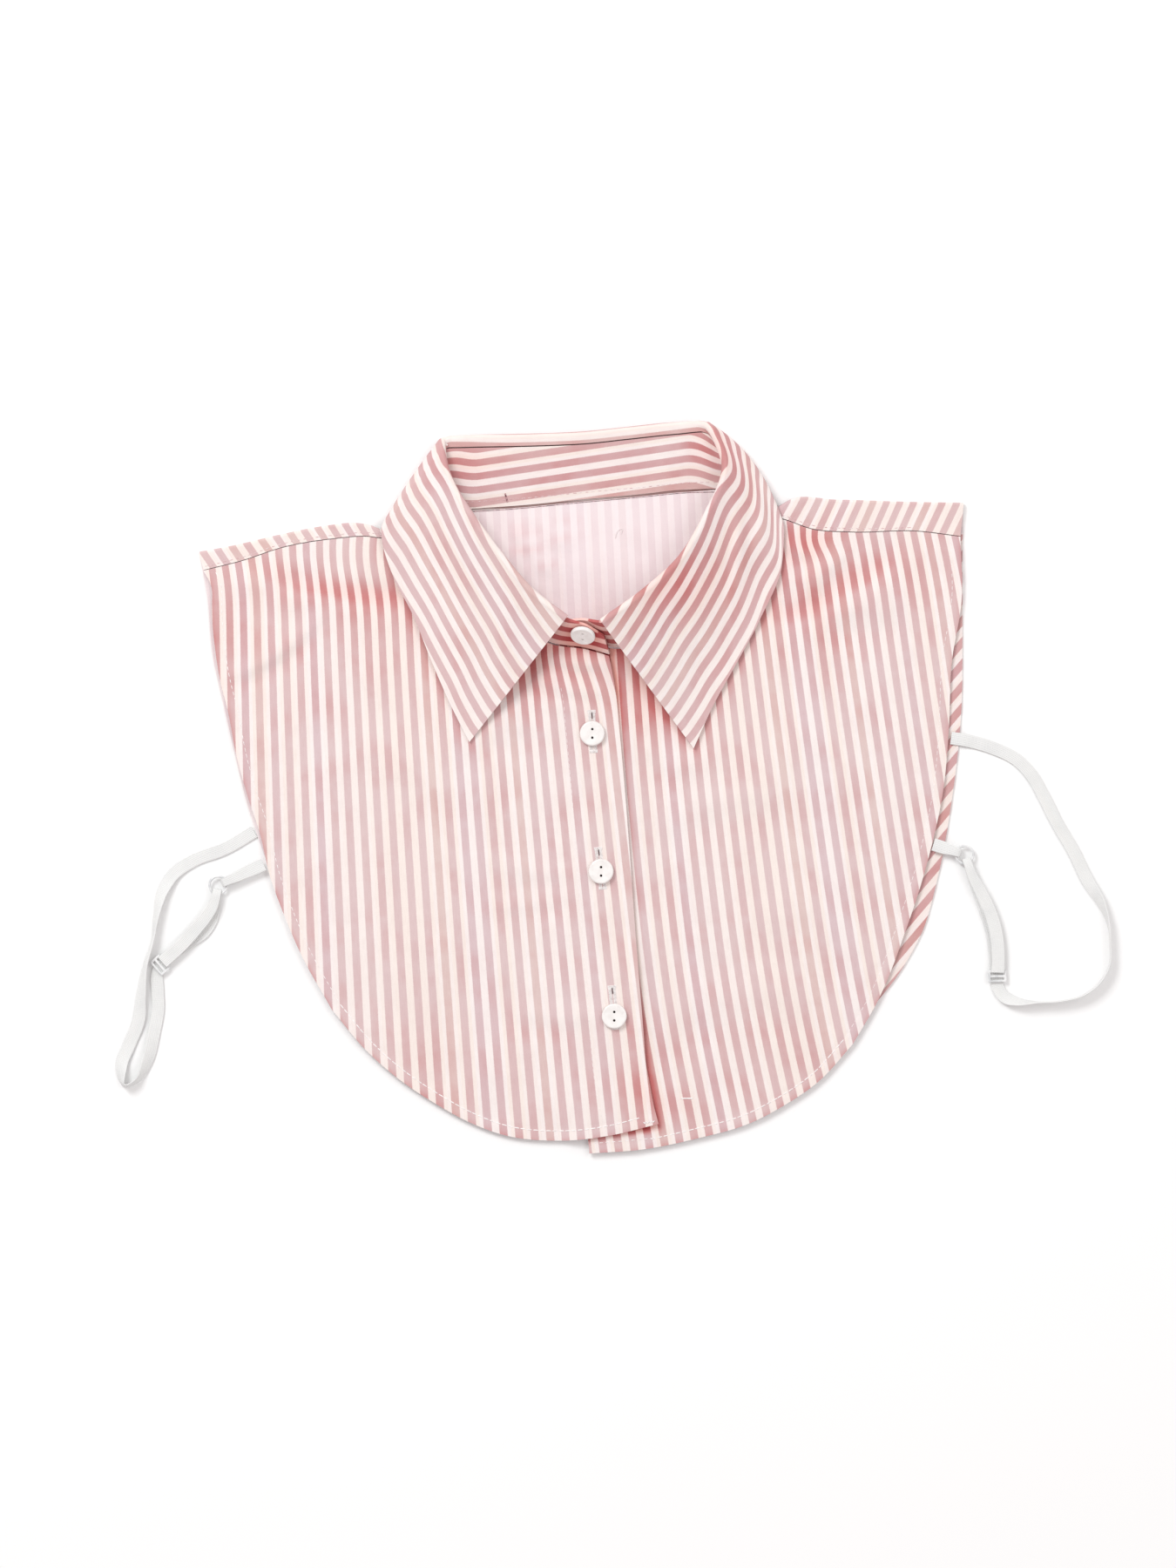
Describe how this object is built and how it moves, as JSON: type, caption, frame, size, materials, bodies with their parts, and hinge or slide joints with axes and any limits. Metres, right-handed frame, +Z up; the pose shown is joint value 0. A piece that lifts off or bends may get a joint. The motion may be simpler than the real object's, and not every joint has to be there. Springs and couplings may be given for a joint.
{
  "type": "detachable shirt collar with bib",
  "caption": "Striped false shirt collar laid flat: stand and fall on a short buttoned bib, with elastic side straps.",
  "frame": {"origin": "middle of the cloth's footprint, on the surface that it lies on", "axes": "+X to the picture's right, +Y from the hem towards the collar, +Z up out of the front"},
  "size_m": [0.4688, 0.3444, 0.0238],
  "materials": {
    "cloth": "crisp cotton with dusty pink and cream stripes",
    "button": "white, soft gloss",
    "elastic": "white woven elastic",
    "hardware": "white moulded plastic"
  },
  "bodies": {
    "root": {"back_panel": "cloth", "front_left": "cloth", "front_right": "cloth", "collar_stand": "cloth", "collar_fall": "cloth", "button_neck": "button", "button_top": "button", "button_middle": "button", "button_low": "button", "strap_left": "elastic", "strap_right": "elastic", "tab_left": "elastic", "tab_right": "elastic", "ring_left": "hardware", "ring_right": "hardware", "slider_left": "hardware", "slider_right": "hardware"}
  },
  "joints": []
}
